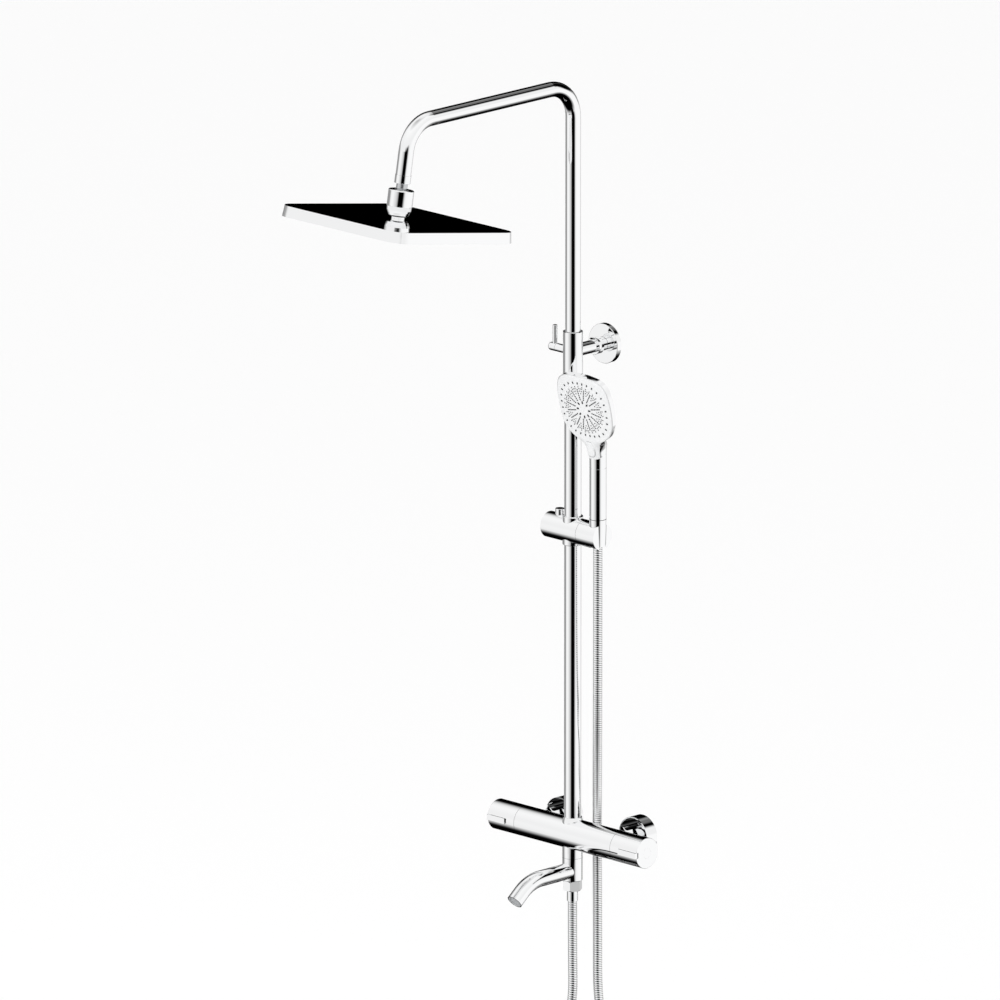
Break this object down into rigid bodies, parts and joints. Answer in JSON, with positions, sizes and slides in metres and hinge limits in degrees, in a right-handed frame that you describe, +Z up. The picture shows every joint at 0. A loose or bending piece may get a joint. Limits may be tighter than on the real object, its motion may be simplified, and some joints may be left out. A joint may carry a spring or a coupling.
{
  "type": "thermostatic rain shower column",
  "caption": "Wall-mounted thermostatic shower column with telescopic swivel arm, ball-jointed square overhead shower, bath spout, sliding cradle, hand shower and hose.",
  "frame": {"origin": "on the finished wall plane, midway between the two water inlets, at the height of the valve axis", "axes": "+X to the right as one faces the wall, +Y into the wall, +Z up"},
  "size_m": [0.304, 0.5697, 1.6366],
  "materials": {
    "chrome": "polished chrome plate",
    "hose_steel": "coiled double-lock chrome strip",
    "brass": "turned brass",
    "steel": "zinc-plated steel",
    "white_plastic": "moulded white plastic",
    "grey_silicone": "soft grey silicone",
    "grey_plastic": "moulded grey plastic",
    "black_rubber": "black rubber"
  },
  "bodies": {
    "column": {"valve_body": "chrome", "inlet_unions": "chrome", "union_nuts": "chrome", "inlet_filters": "black_rubber", "check_valves": "white_plastic", "inlet_covers": "chrome", "thermostat_cartridge": "brass", "flow_cartridge": "brass", "cartridge_nuts": "brass", "riser_pipe": "chrome", "riser_seals": "black_rubber", "bracket_sleeve": "chrome", "guide_bush": "white_plastic", "bracket_stem": "chrome", "bracket_collar": "chrome", "bracket_grub_screw": "steel", "bracket_rose": "chrome", "wall_plate": "steel", "spout_core": "chrome", "spout_seals": "black_rubber", "hose_nut": "chrome", "hose_ferrule": "hose_steel", "shower_hose": "hose_steel"},
    "flow_control": {"flow_spindle": "brass", "flow_knob": "chrome", "flow_knob_screw": "chrome"},
    "flow_key": {"flow_stop_key": "chrome"},
    "temperature_control": {"temperature_spindle": "brass", "temperature_knob": "chrome", "temperature_knob_screw": "chrome"},
    "temperature_key": {"temperature_stop_key": "chrome"},
    "height_lock": {"lock_lever": "chrome", "lock_screw": "steel"},
    "bath_spout": {"spout": "chrome", "aerator": "grey_plastic"},
    "telescope": {"telescope_guide": "brass", "telescope_seals": "black_rubber"},
    "arm": {"upper_pipe": "chrome", "tip_collar": "chrome", "ball_stud": "steel"},
    "ball_seat_ring": {"ball_seat": "white_plastic"},
    "ball_seal_ring": {"ball_seal": "grey_silicone"},
    "head": {"socket_nut": "chrome", "socket_body": "chrome", "head_spigot": "chrome", "head_shell": "chrome", "head_face": "grey_plastic", "head_nozzles": "grey_silicone"},
    "slider": {"slider_body": "chrome", "slider_bushes": "chrome", "brake_shoe": "white_plastic", "release_spring": "steel", "cradle_pivot": "steel"},
    "slider_release": {"release_button": "chrome"},
    "handset_cradle": {"cradle": "chrome"},
    "handset": {"handset_body": "chrome", "handset_face": "white_plastic", "handset_nozzles": "grey_silicone", "cone_nut": "chrome"},
    "spray_mode": {"mode_button": "grey_plastic"}
  },
  "joints": [
    {"name": "telescope_height", "type": "slide", "parent": "column", "child": "telescope", "axis": [0, 0, 1], "range_m": [-0.2, 0.1]},
    {"name": "arm_swivel", "type": "hinge", "parent": "telescope", "child": "arm", "pos_m": [0, -0.07, 0.42], "axis": [0, 0, 1], "range_deg": [-60, 60]},
    {"name": "head_tilt", "type": "hinge", "parent": "arm", "child": "ball_seat_ring", "pos_m": [0, -0.42196, 1.02198], "axis": [1, 0, 0], "range_deg": [-10, 10]},
    {"name": "head_side_tilt", "type": "hinge", "parent": "ball_seat_ring", "child": "ball_seal_ring", "pos_m": [0, -0.42196, 1.02198], "axis": [0, -0.9848, 0.1736], "range_deg": [-10, 10]},
    {"name": "head_spin", "type": "hinge", "parent": "ball_seal_ring", "child": "head", "pos_m": [0, -0.42196, 1.02198], "axis": [0, -0.1736, -0.9848], "range_deg": [-180, 180]},
    {"name": "lock_lever_turn", "type": "hinge", "parent": "column", "child": "height_lock", "pos_m": [0, -0.07, 0.726], "axis": [1, 0, 0], "range_deg": [0, 90]},
    {"name": "flow_knob_turn", "type": "hinge", "parent": "column", "child": "flow_control", "pos_m": [0, -0.07, 0], "axis": [1, 0, 0], "range_deg": [-90, 90]},
    {"name": "flow_key_press", "type": "slide", "parent": "flow_control", "child": "flow_key", "axis": [0, 1, 0], "range_m": [0, 0.0012], "stiffness_N_per_m": 1500},
    {"name": "temperature_knob_turn", "type": "hinge", "parent": "column", "child": "temperature_control", "pos_m": [0, -0.07, 0], "axis": [1, 0, 0], "range_deg": [-130, 50]},
    {"name": "temperature_key_press", "type": "slide", "parent": "temperature_control", "child": "temperature_key", "axis": [0, 1, 0], "range_m": [0, 0.0012], "stiffness_N_per_m": 1500},
    {"name": "spout_swivel", "type": "hinge", "parent": "column", "child": "bath_spout", "pos_m": [0, -0.07, -0.055], "axis": [0, 0, 1], "range_deg": [-90, 90]},
    {"name": "slider_height", "type": "slide", "parent": "column", "child": "slider", "axis": [0, 0, 1], "range_m": [-0.25, 0.15], "deforming": ["shower_hose"]},
    {"name": "release_button_press", "type": "slide", "parent": "slider", "child": "slider_release", "axis": [0, 0, -1], "range_m": [0, 0.003], "stiffness_N_per_m": 1500, "deforming": ["release_spring"]},
    {"name": "cradle_tilt", "type": "hinge", "parent": "slider", "child": "handset_cradle", "pos_m": [0, -0.07, 0.4582], "axis": [1, 0, 0], "range_deg": [0, 20]},
    {"name": "handset_lift", "type": "slide", "parent": "handset_cradle", "child": "handset", "axis": [0, 0, 1], "range_m": [0, 0.036]},
    {"name": "mode_button_press", "type": "slide", "parent": "handset", "child": "spray_mode", "axis": [0, 0.9759, 0.2181], "range_m": [0, 0.0008], "stiffness_N_per_m": 1500}
  ]
}
